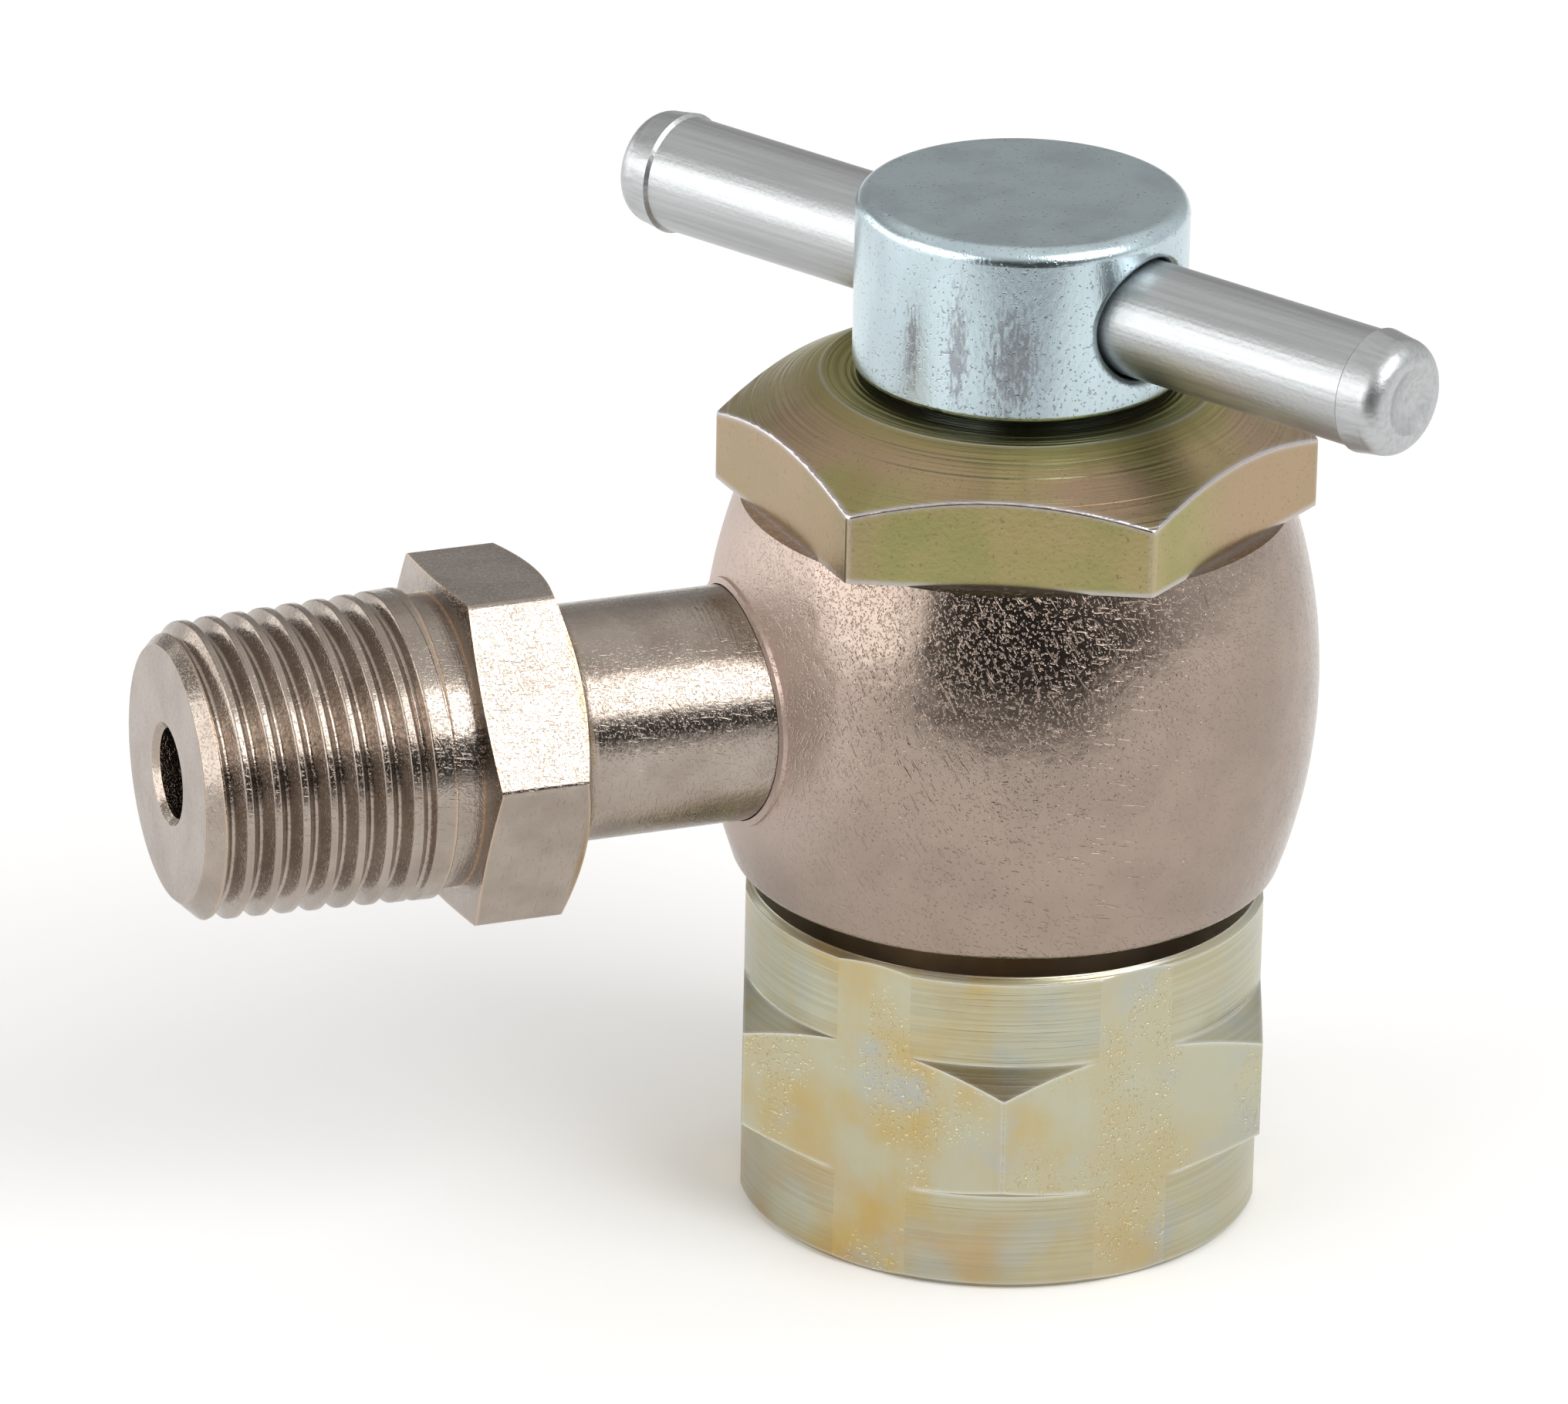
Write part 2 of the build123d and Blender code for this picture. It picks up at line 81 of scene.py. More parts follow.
def begin(name):
    """A new material: itself, its node tree, its shader, and the piece's own place in millimetres."""
    material = bpy.data.materials.new(name)
    material.use_nodes = True
    tree = material.node_tree
    place = add(tree, "TexCoord", {}, {})["Object"]
    place_mm = add(tree, "VectorMath", {"operation": "SCALE"}, {0: place, "Scale": 1 / MM})[0]
    return material, tree, tree.nodes["Principled BSDF"], place_mm


def patches(tree, place, size, low, high, detail=2.0, turn=(0, 0, 0), shift=(0, 0, 0)):
    """Soft patches, of a size in millimetres along turned axes: 0 where noise is under low, 1 over high."""
    lie = add(tree, "Mapping", {"vector_type": "TEXTURE"},
              {"Vector": place, "Location": shift, "Rotation": turn, "Scale": size})[0]
    noise = add(tree, "TexNoise", {}, {"Vector": lie, "Scale": 1.0, "Detail": detail})["Fac"]
    return add(tree, "MapRange", {"interpolation_type": "SMOOTHSTEP"},
               {"Value": noise, "From Min": low, "From Max": high})[0]


def needles(tree, place, width, length):
    """Short fine scratches that lie every way, as loose pieces leave on each other in a tumbling drum."""
    marks = 0.0
    for turn in ((0.3, 0.2, 0.0), (1.1, 0.5, 0.8), (0.4, 1.2, 1.7), (1.3, 2.1, 2.5), (2.2, 0.9, 0.4)):
        mark = patches(tree, place, (length, width, width), 0.63, 0.75, 1.0, turn)
        marks = add(tree, "Math", {"operation": "MAXIMUM"}, {0: mark, 1: marks})[0]
    return marks


def rings(tree, place, spacing):
    """Tool lines at every radius round the spindle's axis, as facing leaves them."""
    level = add(tree, "VectorMath", {"operation": "MULTIPLY"}, {0: place, 1: (1, 1, 0)})[0]
    radius = add(tree, "VectorMath", {"operation": "LENGTH"}, {0: level})["Value"]
    drift = add(tree, "VectorMath", {"operation": "SCALE"}, {0: place, "Scale": 0.01})[0]
    across = add(tree, "VectorMath", {"operation": "ADD"},
                 {0: add(tree, "CombineXYZ", {}, {"X": radius})[0], 1: drift})[0]
    return patches(tree, across, (spacing, 1, 1), 0.3, 0.7, 3.0)


def worn_edges(tree, width, onset=0.965):
    """1 at edges, within a width in millimetres, where rounding leans the face past a cosine of onset."""
    rounded = add(tree, "Bevel", {"samples": 6}, {"Radius": width * MM})[0]
    flat = add(tree, "NewGeometry", {}, {})["Normal"]
    lean = add(tree, "VectorMath", {"operation": "DOT_PRODUCT"}, {0: rounded, 1: flat})["Value"]
    return add(tree, "MapRange", {}, {"Value": lean, "From Min": onset, "From Max": onset - 0.065})[0]


# Materials

def tumbled_nickel():
    """Nickel on tumbled brass: warm satin that breaks reflections into sparks, frosted round the tube,
    where a paler tone is painted light.
    """
    material, tree, shader, place = begin("tumbled nickel plate")
    cloud = patches(tree, place, (2.5, 2.5, 2.5), 0.35, 0.65, 3.0)
    # The crinkle and scratches are drawn coarser than the real ones, so that they show
    crinkle = patches(tree, place, (0.4, 0.4, 0.4), 0.3, 0.7, 3.0)
    dents = patches(tree, place, (1.1, 1.1, 1.1), 0.2, 0.8, 1.0)
    scratches = needles(tree, place, 0.1, 0.9)
    # Round the tube the surface is rougher, and its paler tone there is painted light
    from_tube = add(tree, "VectorMath", {"operation": "DISTANCE"}, {0: place, 1: TUBE_ROOT})["Value"]
    frost_and_painted_light = add(tree, "MapRange", {"interpolation_type": "SMOOTHSTEP"},
                {"Value": from_tube, "From Min": 8.0, "From Max": 4.0})[0]
    roughness = add(tree, "MapRange", {}, {"Value": frost_and_painted_light, "To Min": 0.19, "To Max": 0.45})[0]
    tone = add(tree, "Mix", COLOURS,
               {SHARE: cloud, UNDER: colour("#98887d"), OVER: colour("#a09084")})[MIXED]
    tone = add(tree, "Mix", COLOURS, {SHARE: frost_and_painted_light, UNDER: tone, OVER: colour("#c4b2a8")})[MIXED]
    normal = add(tree, "Bump", {}, {"Height": crinkle, "Distance": 0.004 * MM})[0]
    normal = add(tree, "Bump", {}, {"Height": dents, "Distance": 0.012 * MM, "Normal": normal})[0]
    normal = add(tree, "Bump", {"invert": True},
                 {"Height": scratches, "Distance": 0.012 * MM, "Normal": normal})[0]
    tree.links.new(tone, shader.inputs["Base Color"])
    tree.links.new(normal, shader.inputs["Normal"])
    tree.links.new(roughness, shader.inputs["Roughness"])
    shader.inputs["Metallic"].default_value = 1.0
    return material


def turned_nickel(hex_reflection_x):
    """Nickel on turned brass: bright tool lines, copper at worn edges, and a dull yellow-brown band behind
    the hexagon that is a painted reflection of it.
    """
    material, tree, shader, place = begin("turned nickel plate")
    cloud = patches(tree, place, (2.0, 2.0, 2.0), 0.35, 0.65, 3.0)
    lines = patches(tree, place, (0.08, 9.0, 9.0), 0.3, 0.7, 3.0)
    crinkle = patches(tree, place, (0.22, 0.22, 0.22), 0.3, 0.7)
    scratches = needles(tree, place, 0.07, 0.6)
    edges = worn_edges(tree, 0.2)
    # A dull yellow-brown band on the tube just behind the hexagon is a painted reflection of the hexagon
    along = add(tree, "SeparateXYZ", {}, {0: place})["X"]
    aside = add(tree, "Math", {"operation": "SUBTRACT"}, {0: along, 1: hex_reflection_x})[0]
    apart = add(tree, "Math", {"operation": "ABSOLUTE"}, {0: aside})[0]
    near = add(tree, "MapRange", {}, {"Value": apart, "From Min": 0.55, "From Max": 0.3})[0]
    painted_hex_reflection = add(tree, "Math", {"operation": "MULTIPLY"}, {0: near, 1: cloud})[0]
    tone = add(tree, "Mix", COLOURS,
               {SHARE: cloud, UNDER: colour("#998d83"), OVER: colour("#a79c92")})[MIXED]
    tone = add(tree, "Mix", COLOURS, {SHARE: painted_hex_reflection, UNDER: tone, OVER: colour("#8a7752")})[MIXED]
    tone = add(tree, "Mix", COLOURS, {SHARE: edges, UNDER: tone, OVER: colour("#c6ac94")})[MIXED]
    normal = add(tree, "Bump", {}, {"Height": lines, "Distance": 0.002 * MM})[0]
    normal = add(tree, "Bump", {}, {"Height": crinkle, "Distance": 0.003 * MM, "Normal": normal})[0]
    normal = add(tree, "Bump", {"invert": True},
                 {"Height": scratches, "Distance": 0.006 * MM, "Normal": normal})[0]
    tree.links.new(tone, shader.inputs["Base Color"])
    tree.links.new(normal, shader.inputs["Normal"])
    shader.inputs["Metallic"].default_value = 1.0
    shader.inputs["Roughness"].default_value = 0.18
    return material


def yellow_zinc():
    """Zinc plate with a thick yellow chromate film: olive and brass that drift to rose, pale at edges."""
    material, tree, shader, place = begin("yellow chromated zinc plate")
    cloud = patches(tree, place, (4.0, 4.0, 4.0), 0.38, 0.6, 3.0, shift=(3.0, 1.0, 0.0))
    drift = patches(tree, place, (7.0, 7.0, 5.0), 0.46, 0.64, 2.0, shift=(-7.0, 2.0, 5.0))
    # The pits, the grain and the facing lines are drawn coarser than the real ones, so that they show
    pits = patches(tree, place, (0.1, 0.1, 0.1), 0.64, 0.74, 1.0)
    fine = patches(tree, place, (0.2, 0.2, 0.2), 0.3, 0.7, 3.0)
    facing = rings(tree, place, 0.2)
    upward = add(tree, "SeparateXYZ", {}, {0: add(tree, "NewGeometry", {}, {})["Normal"]})["Z"]
    turned = add(tree, "MapRange", {},
                 {"Value": upward, "From Min": 0.2, "From Max": 0.6, "To Max": 0.8})[0]
    rims = add(tree, "Math", {"operation": "COMPARE"}, {0: upward, 1: 0.45, 2: 0.35})[0]
    edges = add(tree, "Math", {"operation": "MAXIMUM"}, {0: rims, 1: worn_edges(tree, 0.4, 0.99)})[0]
    level = add(tree, "VectorMath", {"operation": "MULTIPLY"}, {0: place, 1: (1, 1, 0)})[0]
    outward = add(tree, "VectorMath", {"operation": "NORMALIZE"}, {0: level})[0]
    # Darker streaks running out from the axis on the turned faces are painted sheen, the streaky reflection
    # of the turning marks
    painted_sheen_spokes = patches(tree, outward, (0.16, 0.16, 1.0), 0.42, 0.66, 3.0)
    streaks = add(tree, "Math", {"operation": "MULTIPLY"}, {0: painted_sheen_spokes, 1: turned})[0]
    # Rose lies in drifts on the cone, and on the flats to both sides of the front one
    on_cone = add(tree, "Math", {"operation": "MULTIPLY"}, {0: drift, 1: turned})[0]
    across = add(tree, "SeparateXYZ", {}, {0: place})["X"]
    from_front = add(tree, "Math", {"operation": "ADD"}, {0: across, 1: 2.0})[0]
    aside = add(tree, "Math", {"operation": "ABSOLUTE"}, {0: from_front})[0]
    sides = add(tree, "MapRange", {"interpolation_type": "SMOOTHSTEP"},
                {"Value": aside, "From Min": 4.5, "From Max": 7.0, "To Max": 0.65})[0]
    on_flats = add(tree, "Math", {"operation": "SUBTRACT"}, {0: sides, 1: turned})[0]
    rose = add(tree, "Math", {"operation": "MAXIMUM"}, {0: on_cone, 1: on_flats})[0]
    # The land round the head is left dull, and painted a darker olive there as shade under the head
    from_axis = add(tree, "VectorMath", {"operation": "LENGTH"}, {0: level})["Value"]
    land_dull_and_painted_shade = add(tree, "MapRange", {"interpolation_type": "SMOOTHSTEP"},
               {"Value": from_axis, "From Min": 8.0, "From Max": 6.4, "To Max": 0.8})[0]
    roughness = add(tree, "MapRange", {}, {"Value": land_dull_and_painted_shade, "To Min": 0.25, "To Max": 0.45})[0]
    tone = add(tree, "Mix", COLOURS,
               {SHARE: cloud, UNDER: colour("#979361"), OVER: colour("#a6986c")})[MIXED]
    tone = add(tree, "Mix", COLOURS, {SHARE: streaks, UNDER: tone, OVER: colour("#94875c")})[MIXED]
    tone = add(tree, "Mix", COLOURS, {SHARE: rose, UNDER: tone, OVER: colour("#a88c76")})[MIXED]
    tone = add(tree, "Mix", COLOURS, {SHARE: land_dull_and_painted_shade, UNDER: tone, OVER: colour("#857f4c")})[MIXED]
    tone = add(tree, "Mix", COLOURS, {SHARE: pits, UNDER: tone, OVER: colour("#877b5e")})[MIXED]
    tone = add(tree, "Mix", COLOURS, {SHARE: edges, UNDER: tone, OVER: colour("#c2bcbc")})[MIXED]
    round_axis = add(tree, "Tangent", {"direction_type": "RADIAL", "axis": "Z"}, {})[0]
    ring_depth = add(tree, "Math", {"operation": "MULTIPLY"}, {0: facing, 1: turned})[0]
    normal = add(tree, "Bump", {}, {"Height": ring_depth, "Distance": 0.03 * MM})[0]
    normal = add(tree, "Bump", {}, {"Height": fine, "Distance": 0.0015 * MM, "Normal": normal})[0]
    tree.links.new(tone, shader.inputs["Base Color"])
    tree.links.new(normal, shader.inputs["Normal"])
    tree.links.new(roughness, shader.inputs["Roughness"])
    tree.links.new(turned, shader.inputs["Anisotropic"])
    tree.links.new(round_axis, shader.inputs["Tangent"])
    shader.inputs["Metallic"].default_value = 1.0
    return material


def pale_film(tree, place):
    """Thin chromate film on zinc: drifts of gold and blue-grey on grey-green, rust-brown at the foot."""
    gold = patches(tree, place, (3.4, 3.4, 3.8), 0.34, 0.72, 4.0, shift=(1.0, 4.0, 0.0))
    blue = patches(tree, place, (2.8, 2.8, 2.6), 0.48, 0.8, 4.0, shift=(6.0, 2.0, 3.0))
    rust = patches(tree, place, (3.2, 3.2, 2.2), 0.36, 0.8, 4.0, shift=(5.0, 0.0, 2.0))
    height = add(tree, "SeparateXYZ", {}, {0: place})["Z"]
    foot = add(tree, "MapRange", {}, {"Value": height, "From Min": 6.0, "From Max": 0.5, "To Max": 0.8})[0]
    stain = add(tree, "Math", {"operation": "MULTIPLY"}, {0: rust, 1: foot})[0]
    # The film is thicker on the side that faces left in the photograph
    aside = add(tree, "VectorMath", {"operation": "DOT_PRODUCT"}, {0: place, 1: (0.94, -0.35, 0)})["Value"]
    thick = add(tree, "MapRange", {},
                {"Value": aside, "From Min": 7.5, "From Max": -1.5, "To Min": 0.25})[0]
    gold = add(tree, "Math", {"operation": "MULTIPLY"}, {0: gold, 1: thick})[0]
    stain = add(tree, "Math", {"operation": "MULTIPLY"}, {0: stain, 1: thick})[0]
    tone = add(tree, "Mix", COLOURS,
               {SHARE: gold, UNDER: colour("#b7b6a0"), OVER: colour("#baa369")})[MIXED]
    tone = add(tree, "Mix", COLOURS, {SHARE: blue, UNDER: tone, OVER: colour("#a9b0b0")})[MIXED]
    return add(tree, "Mix", COLOURS, {SHARE: stain, UNDER: tone, OVER: colour("#b8935a")})[MIXED]


def turned_pale_zinc():
    """Pale chromated zinc over turned steel: level tool lines, and bright metal along the edges, partly
    worn and partly a painted highlight.
    """
    material, tree, shader, place = begin("pale chromated zinc on turned steel")
    lines = patches(tree, place, (9.0, 9.0, 0.12), 0.35, 0.65, 3.0)
    dull = add(tree, "Math", {"operation": "MULTIPLY"}, {0: lines, 1: 0.32})[0]
    edges = worn_edges(tree, 0.25, 0.975)
    tone = add(tree, "Mix", COLOURS,
               {SHARE: dull, UNDER: pale_film(tree, place), OVER: colour("#97927a")})[MIXED]
    # The near-white edges are worn metal, brightened further as a painted highlight
    tone = add(tree, "Mix", COLOURS, {SHARE: edges, UNDER: tone, OVER: colour("#d9d9d2")})[MIXED]
    normal = add(tree, "Bump", {}, {"Height": lines, "Distance": 0.006 * MM})[0]
    tree.links.new(tone, shader.inputs["Base Color"])
    tree.links.new(normal, shader.inputs["Normal"])
    shader.inputs["Metallic"].default_value = 1.0
    shader.inputs["Roughness"].default_value = 0.27
    return material


def drawn_pale_zinc():
    """Pale chromated zinc over drawn hexagon bar: upright die marks, pits painted paler as glints, and
    bright edges, partly worn and partly a painted highlight.
    """
    material, tree, shader, place = begin("pale chromated zinc on drawn bar")
    pits = patches(tree, place, (0.14, 0.14, 0.14), 0.58, 0.68, 1.0)
    field = patches(tree, place, (3.0, 3.0, 5.0), 0.42, 0.58)
    marks = patches(tree, place, (0.2, 0.2, 12.0), 0.35, 0.65, 2.0)
    pitted = add(tree, "Math", {"operation": "MULTIPLY"}, {0: pits, 1: field})[0]
    # The pits are dented, and painted a paler gold as glints
    painted_pit_glints = add(tree, "Math", {"operation": "MULTIPLY"}, {0: pitted, 1: 0.5})[0]
    edges = worn_edges(tree, 0.25, 0.975)
    tone = add(tree, "Mix", COLOURS,
               {SHARE: painted_pit_glints, UNDER: pale_film(tree, place), OVER: colour("#d8c490")})[MIXED]
    # The near-white edges are worn metal, brightened further as a painted highlight
    tone = add(tree, "Mix", COLOURS, {SHARE: edges, UNDER: tone, OVER: colour("#d9d9d2")})[MIXED]
    normal = add(tree, "Bump", {}, {"Height": marks, "Distance": 0.006 * MM})[0]
    normal = add(tree, "Bump", {"invert": True},
                 {"Height": pitted, "Distance": 0.02 * MM, "Normal": normal})[0]
    tree.links.new(tone, shader.inputs["Base Color"])
    tree.links.new(normal, shader.inputs["Normal"])
    shader.inputs["Metallic"].default_value = 1.0
    shader.inputs["Roughness"].default_value = 0.3
    return material


# Stains down the front of the head: turn in degrees, then height, half width and half height in millimetres
HEAD_RADIUS = 5.56
STAINS = ((-61, 32.2, 0.3, 1.5), (-43, 32.3, 0.4, 2.1), (-24, 32.1, 0.85, 1.9))


def clear_zinc():
    """Zinc plate with a clear blue passivate: cool bright grey, with pitted dark stains down the front."""
    material, tree, shader, place = begin("clear passivated zinc plate")
    cloud = patches(tree, place, (1.8, 1.8, 5.0), 0.35, 0.7, 3.0)
    speckle = patches(tree, place, (0.11, 0.11, 0.35), 0.3, 0.7, 2.0)
    pits = patches(tree, place, (0.12, 0.12, 0.12), 0.62, 0.72, 1.0)
    tone = add(tree, "Mix", COLOURS,
               {SHARE: cloud, UNDER: colour("#c5d7dd"), OVER: colour("#b7c7ce")})[MIXED]
    for side, height, half_width, half_height in STAINS:
        angle = radians(side)
        centre = (HEAD_RADIUS * sin(angle), -HEAD_RADIUS * cos(angle), height)
        near = add(tree, "Mapping", {"vector_type": "TEXTURE"},
                   {"Vector": place, "Location": centre, "Rotation": (0, 0, angle),
                    "Scale": (half_width, HEAD_RADIUS / 2, half_height)})[0]
        reach = add(tree, "VectorMath", {"operation": "LENGTH"}, {0: near})["Value"]
        ragged = add(tree, "Math", {"operation": "SUBTRACT"}, {0: reach, 1: speckle})[0]
        stain = add(tree, "MapRange", {},
                    {"Value": ragged, "From Min": 0.6, "From Max": -0.2, "To Max": 0.75})[0]
        tone = add(tree, "Mix", COLOURS, {SHARE: stain, UNDER: tone, OVER: colour("#86868c")})[MIXED]
    tone = add(tree, "Mix", COLOURS, {SHARE: pits, UNDER: tone, OVER: colour("#a4aeb4")})[MIXED]
    normal = add(tree, "Bump", {"invert": True}, {"Height": pits, "Distance": 0.006 * MM})[0]
    normal = add(tree, "Bump", {}, {"Height": speckle, "Distance": 0.002 * MM, "Normal": normal})[0]
    tree.links.new(tone, shader.inputs["Base Color"])
    tree.links.new(normal, shader.inputs["Normal"])
    shader.inputs["Metallic"].default_value = 1.0
    shader.inputs["Roughness"].default_value = 0.24
    return material


def drawn_zinc():
    """Dull zinc plate on drawn bar: light neutral grey with streaks along the bar."""
    material, tree, shader, place = begin("satin zinc plate on drawn bar")
    bar_turn = (0, 0, radians(-60))
    streaks = patches(tree, place, (6.0, 0.16, 0.16), 0.35, 0.7, 3.0, bar_turn)
    fine = patches(tree, place, (0.16, 0.16, 0.16), 0.3, 0.7)
    tone = add(tree, "Mix", COLOURS,
               {SHARE: streaks, UNDER: colour("#babdbe"), OVER: colour("#afb1b2")})[MIXED]
    normal = add(tree, "Bump", {}, {"Height": streaks, "Distance": 0.0025 * MM})[0]
    normal = add(tree, "Bump", {}, {"Height": fine, "Distance": 0.003 * MM, "Normal": normal})[0]
    tree.links.new(tone, shader.inputs["Base Color"])
    tree.links.new(normal, shader.inputs["Normal"])
    shader.inputs["Metallic"].default_value = 1.0
    shader.inputs["Roughness"].default_value = 0.38
    return material


def inner(name, tone, shade, roughness, metallic, grain):
    """A hidden piece's material: one tone with a soft grain of another, of a size in millimetres."""
    material, tree, shader, place = begin(name)
    cloud = patches(tree, place, (grain, grain, grain), 0.35, 0.7, 3.0)
    mixed = add(tree, "Mix", COLOURS, {SHARE: cloud, UNDER: colour(tone), OVER: colour(shade)})[MIXED]
    normal = add(tree, "Bump", {}, {"Height": cloud, "Distance": 0.02 * grain * MM})[0]
    tree.links.new(mixed, shader.inputs["Base Color"])
    tree.links.new(normal, shader.inputs["Normal"])
    shader.inputs["Metallic"].default_value = metallic
    shader.inputs["Roughness"].default_value = roughness
    return material


# Threads, whose skins have so many rows to a pitch and columns to a turn

THREAD_ROWS = 24
THREAD_COLUMNS = 96


def thread_skin(pitch, first, last, radius_at):
    """A helical skin about the X axis from first to last. radius_at(x, turn) gives its form."""
    skin = bmesh.new()
    start = first - pitch
    line = [skin.verts.new((start + pitch * row / THREAD_ROWS, radius_at(first, 0), 0))
            for row in range(THREAD_ROWS + 1)]
    edges = [skin.edges.new(pair) for pair in zip(line, line[1:])]
    turns = ceil((last - first) / pitch) + 1
    bmesh.ops.spin(skin, geom=line + edges, cent=(0, 0, 0), axis=(1, 0, 0), angle=2 * pi * turns,
                   dvec=(pitch / THREAD_COLUMNS, 0, 0), steps=THREAD_COLUMNS * turns)
    bmesh.ops.remove_doubles(skin, verts=skin.verts, dist=WELD)
    for vert in skin.verts:
        x, y, z = vert.co
        angle = atan2(z, y)
        radius = radius_at(x, (x - start) / pitch - angle / (2 * pi))
        vert.co = (x, radius * cos(angle), radius * sin(angle))
    for edge_x, outward in ((first, -1), (last, 1)):
        bmesh.ops.bisect_plane(skin, geom=skin.verts[:] + skin.edges[:] + skin.faces[:], dist=WELD / 10,
                               plane_co=(edge_x, 0, 0), plane_no=(outward, 0, 0), clear_outer=True)
    return skin


def cut_depth(turn, pitch, crest, depth):
    """How deep a 60 degree thread is cut, a number of turns away from the middle of a crest."""
    aside = abs(turn - round(turn)) * pitch
    return min(depth, max(0, aside - crest / 2) / tan(radians(30)))


def merged_copy(node):
    """A node's solid as one closed mesh, with its own shading kept beside each face corner."""
    source = bpy.data.objects[node].data
    solid = bmesh.new()
    solid.from_mesh(source)
    shading = solid.loops.layers.float_vector.new("shading")
    corners = (corner for face in solid.faces for corner in face.loops)
    for corner, normal in zip(corners, source.corner_normals):
        corner[shading] = normal.vector
    bmesh.ops.remove_doubles(solid, verts=solid.verts, dist=WELD)
    return solid


def join_skin(solid, skin, matrix):
    """Move a thread's skin into place and close the gaps between its rims and the solid's."""
    skin.transform(matrix)
    mesh = bpy.data.meshes.new("skin")
    skin.to_mesh(mesh)
    skin.free()
    solid.from_mesh(mesh)
    bpy.data.meshes.remove(mesh)
    rims = [edge for edge in solid.edges if edge.is_boundary]
    back = matrix.inverted()
    along = {edge: (back @ edge.verts[0].co).x for edge in rims}
    middle = (min(along.values()) + max(along.values())) / 2
    for side in (-1, 1):
        bmesh.ops.bridge_loops(solid, edges=[edge for edge in rims if (along[edge] - middle) * side > 0])
    bmesh.ops.recalc_face_normals(solid, faces=solid.faces)


def finish_piece(name, solid, node, body, materials):
    """Turn a solid into the piece that stands for a node, shaded as the node wherever it is unchanged."""
    for face in solid.faces:
        face.smooth = True
    mesh = bpy.data.meshes.new(name)
    solid.to_mesh(mesh)
    solid.free()
    shading = mesh.attributes["shading"]
    mesh.normals_split_custom_set([corner.vector for corner in shading.data])
    mesh.attributes.remove(mesh.attributes["shading"])
    for material in materials:
        mesh.materials.append(material)
    piece = bpy.data.objects.new(name, mesh)
    bpy.context.scene.collection.objects.link(piece)
    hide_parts(node)
    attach(piece, body)


def threaded_nipple():
    """The outlet nipple with its tapered pipe thread, which runs out before the hexagon."""
    low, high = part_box("outlet_nipple")
    axis_z = (low.z + high.z) / 2
    face_x = low.x
    pitch = 25.4 / 27 * MM
    face_radius = 4.28 * MM
    chamfer = 0.7 * MM
    small_radius = 4.95 * MM
    taper = 1 / 32
    thread_end = face_x + 8.35 * MM
    run_out = 1.6 * MM
    crest = 0.2 * MM
    depth = 0.54 * MM
    start_turn = 0.1

    def radius_at(x, turn):
        cone = small_radius + (x - face_x - chamfer) * taper
        blank = min(cone, face_radius + (x - face_x) * (small_radius - face_radius) / chamfer)
        fade = max(0, x - thread_end + run_out) / run_out * depth
        return min(blank, cone - cut_depth(turn + start_turn, pitch, crest, depth) + fade)

    solid = merged_copy("outlet_nipple")
    cut = [face for face in solid.faces
           if abs(face.normal.x) < 0.99
           and all(v.co.x < thread_end + WELD and hypot(v.co.y, v.co.z - axis_z) > face_radius - WELD
                   for v in face.verts)]
    bmesh.ops.delete(solid, geom=cut, context="FACES")
    skin = thread_skin(pitch, face_x + RIM_GAP, thread_end - RIM_GAP, radius_at)
    join_skin(solid, skin, Matrix.Translation((0, 0, axis_z)))
    finish_piece("threaded_nipple", solid, "outlet_nipple", "body",
                 [turned_nickel(hex_reflection_x=-16.6)])


def threaded_nut():
    """The swivel nut with the thread in its mouth, and its drawn flats in a finish of their own."""
    pitch = 25.4 / 20 * MM
    bore = 5.72 * MM
    mouth_chamfer = 0.4 * MM
    thread_top = 5.6 * MM
    depth = 0.63 * MM
    lead_in = 0.9 * MM
    crest = 0.25 * MM
    half_across_flats = 8.75 * MM
    flat_slack = 0.03 * MM

    def radius_at(z, turn):
        blank = bore + max(0, mouth_chamfer - z, z - thread_top)
        return max(blank, bore + cut_depth(turn, pitch, crest, depth) * min(1, z / lead_in))

    solid = merged_copy("swivel_nut")
    cut = [face for face in solid.faces
           if abs(face.normal.z) < 0.99
           and all(v.co.z < thread_top + depth + WELD and hypot(v.co.x, v.co.y) < bore + depth + WELD
                   for v in face.verts)]
    bmesh.ops.delete(solid, geom=cut, context="FACES")
    skin = thread_skin(pitch, RIM_GAP, thread_top + depth - RIM_GAP, radius_at)
    join_skin(solid, skin, Matrix.Rotation(-pi / 2, 4, "Y"))
    for face in solid.faces:
        outward = Vector((face.normal.x, face.normal.y, 0))
        out_to_face = face.calc_center_median().dot(outward)
        upright = abs(face.normal.z) < 0.01
        face.material_index = int(upright and abs(out_to_face - half_across_flats) < flat_slack)
    finish_piece("threaded_nut", solid, "swivel_nut", "nut",
                 [turned_pale_zinc(), drawn_pale_zinc()])


# Stage, light and camera

def stage_sheet(name, code, shape):
    """A flat stage piece with a dull surface of one colour. Gives its object and its material's tree."""
    mesh = bpy.data.meshes.new(name)
    shape.to_mesh(mesh)
    shape.free()
    surface = bpy.data.materials.new(name)
    surface.use_nodes = True
    shader = surface.node_tree.nodes["Principled BSDF"]
    shader.inputs["Base Color"].default_value = colour(code)
    shader.inputs["Roughness"].default_value = 0.9
    mesh.materials.append(surface)
    sheet = bpy.data.objects.new(name, mesh)
    bpy.context.scene.collection.objects.link(sheet)
    return sheet, surface.node_tree


def floor():
    """White paper under the part."""
    disc = bmesh.new()
    bmesh.ops.create_circle(disc, cap_ends=True, segments=96, radius=2.0)
    stage_sheet("white paper", "#fafafa", disc)


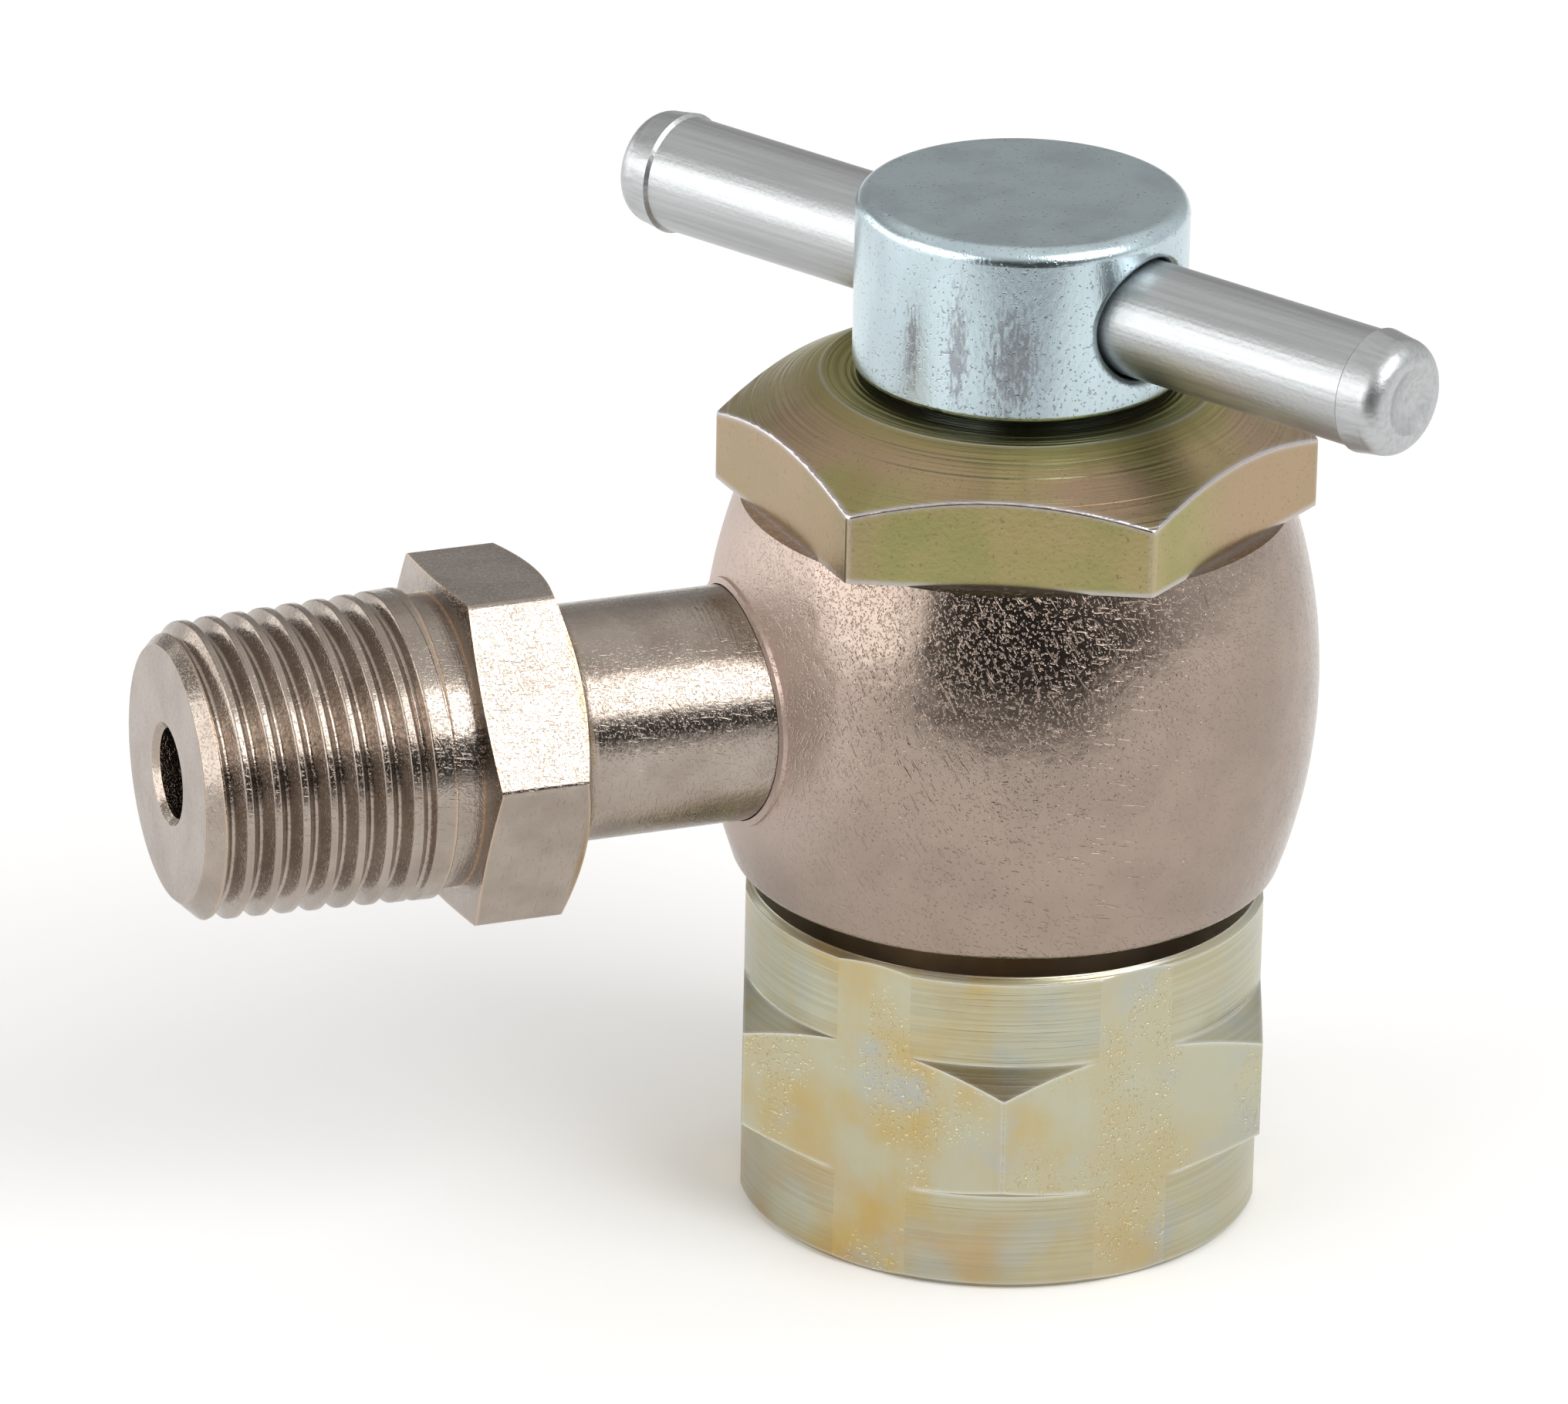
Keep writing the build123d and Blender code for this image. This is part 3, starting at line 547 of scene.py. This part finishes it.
def dark_card():
    """A black card below the camera, which only reflections see, fading towards its sides and foot."""
    half_width = 94 * MM
    half_height = 32.5 * MM
    distance = 85 * MM
    stand = Matrix.Translation((0, -distance, half_height)) @ Matrix.Rotation(pi / 2, 4, "X")
    face_camera = Matrix.Rotation(radians(-20), 4, "Z")
    size = Matrix.Diagonal((half_width, half_height, 1, 1))
    grid = bmesh.new()
    bmesh.ops.create_grid(grid, x_segments=1, y_segments=1, size=1, matrix=face_camera @ stand @ size)
    card, tree = stage_sheet("black card", "#0c0b0b", grid)
    card.visible_camera = False
    card.visible_diffuse = False
    card.visible_shadow = False
    spot = add(tree, "SeparateXYZ", {}, {0: add(tree, "TexCoord", {}, {})["Generated"]})
    from_side = add(tree, "Math", {"operation": "PINGPONG"}, {0: spot["X"], 1: 0.5})[0]
    inward = add(tree, "MapRange", {"interpolation_type": "SMOOTHSTEP"},
                 {"Value": from_side, "From Max": 0.35})[0]
    rise = add(tree, "MapRange", {}, {"Value": spot["Z"], "From Max": 0.35, "To Min": 0.6})[0]
    cover = add(tree, "Math", {"operation": "MULTIPLY"}, {0: inward, 1: rise})[0]
    tree.links.new(cover, tree.nodes["Principled BSDF"].inputs["Alpha"])


def lamps():
    """Soft boxes a metre away: turn and height in degrees, width and height in metres, and brightness."""
    for name, azimuth, elevation, width, height, radiance in (
            ("key box", 30, 41, 0.75, 0.66, 3.9),
            ("left panel", -80, 18, 1.0, 0.68, 2.4),
            ("rear left panel", -128, 10, 0.95, 0.4, 1.8)):
        lamp = bpy.data.lights.new(name, "AREA")
        lamp.shape = "RECTANGLE"
        lamp.size = width
        lamp.size_y = height
        lamp.energy = radiance * pi * width * height
        box = bpy.data.objects.new(name, lamp)
        way = Vector((sin(radians(azimuth)) * cos(radians(elevation)),
                      -cos(radians(azimuth)) * cos(radians(elevation)), sin(radians(elevation))))
        box.location = way
        box.rotation_euler = way.to_track_quat("Z", "Y").to_euler()
        bpy.context.scene.collection.objects.link(box)


def walls():
    """The room: pale on the right and above, greyer on the left and behind, dark low in front."""
    world = bpy.data.worlds.new("studio walls")
    bpy.context.scene.world = world
    world.use_nodes = True
    tree = world.node_tree
    way = add(tree, "TexCoord", {}, {})["Generated"]
    toward = add(tree, "VectorMath", {"operation": "DOT_PRODUCT"}, {0: way, 1: (-0.17, -0.985, 0)})["Value"]
    along = add(tree, "SeparateXYZ", {}, {0: way})
    rightward = add(tree, "MapRange", {}, {"Value": along["X"], "From Min": -0.9, "From Max": 0.9})[0]
    forward = add(tree, "MapRange", {}, {"Value": toward, "From Min": 0.5, "From Max": 0.85})[0]
    backward = add(tree, "MapRange", {}, {"Value": toward, "From Min": -0.5, "From Max": -0.9})[0]
    upward = add(tree, "MapRange", {}, {"Value": along["Z"], "From Min": 0.5, "From Max": 0.8})[0]
    low = add(tree, "MapRange", {}, {"Value": along["Z"], "From Min": 0.45, "From Max": 0.25})[0]
    dark = add(tree, "Math", {"operation": "MULTIPLY"}, {0: forward, 1: low})[0]
    room = add(tree, "Mix", COLOURS,
               {SHARE: rightward, UNDER: colour("#a19f9b"), OVER: colour("#eeeeee")})[MIXED]
    room = add(tree, "Mix", COLOURS, {SHARE: dark, UNDER: room, OVER: colour("#2c2a28")})[MIXED]
    room = add(tree, "Mix", COLOURS, {SHARE: backward, UNDER: room, OVER: colour("#b2b0ae")})[MIXED]
    room = add(tree, "Mix", COLOURS, {SHARE: upward, UNDER: room, OVER: colour("#f6f5f3")})[MIXED]
    tree.links.new(room, tree.nodes["Background"].inputs["Color"])
    tree.nodes["Background"].inputs["Strength"].default_value = 0.93


def camera():
    """The photograph's own view: its turn about the part, tilt, roll, distance and framing."""
    azimuth = radians(-20.556)
    elevation = radians(23.297)
    roll = radians(1.132)
    focal_pixels = 14815.3
    frame_pixels = 2032
    distance = 384.93 * MM
    target = Vector((0, 0, 17.9375 * MM))
    aside = 7.587 * MM
    lift = 0.232 * MM
    back = Vector((sin(azimuth) * cos(elevation), -cos(azimuth) * cos(elevation), sin(elevation)))
    level = Vector((cos(azimuth), sin(azimuth), 0))
    up = back.cross(level)
    right = level * cos(roll) + up * sin(roll)
    upright = up * cos(roll) - level * sin(roll)
    lens = bpy.data.cameras.new("camera")
    lens.sensor_fit = "HORIZONTAL"
    lens.sensor_width = 36
    lens.lens = focal_pixels / frame_pixels * lens.sensor_width
    viewer = bpy.data.objects.new("camera", lens)
    axes = Matrix((right, upright, back)).transposed().to_4x4()
    place = target + back * distance - right * aside - upright * lift
    viewer.matrix_world = Matrix.Translation(place) @ axes
    bpy.context.scene.collection.objects.link(viewer)
    bpy.context.scene.camera = viewer


# Inside are dull warm copper, satin black rubber, waxy white PTFE, dark oiled steel and a bright ground pin
pale_zinc = turned_pale_zinc()
copper = inner("annealed copper", "#c98a66", "#b0714f", 0.4, 1.0, 0.4)
nitrile = inner("moulded nitrile rubber", "#1b1b1c", "#26262a", 0.55, 0.0, 0.3)
ptfe = inner("turned PTFE", "#ece9e2", "#dfdbd2", 0.45, 0.0, 0.5)
finishes = {
    "valve_body": tumbled_nickel(),
    "bonnet_nut": yellow_zinc(),
    "spindle": clear_zinc(),
    "tommy_bar": drawn_zinc(),
    "swivel_stem": pale_zinc,
    "stem_gasket": copper,
    "bonnet_gasket": copper,
    "nose_seal": nitrile,
    "spindle_o_ring": nitrile,
    "upper_backup_ring": ptfe,
    "lower_backup_ring": ptfe,
    "spindle_stop_ring": inner("oiled spring steel", "#5b5a5c", "#46464a", 0.35, 1.0, 0.3),
    "depressor_pin": inner("ground stainless steel", "#c9c8c4", "#b3b1ac", 0.25, 1.0, 0.2),
}
for node, material in finishes.items():
    slots = bpy.data.objects[node].data.materials
    slots.clear()
    slots.append(material)

threaded_nipple()
threaded_nut()
bpy.context.scene.view_settings.view_transform = "Standard"
floor()
dark_card()
lamps()
walls()
camera()
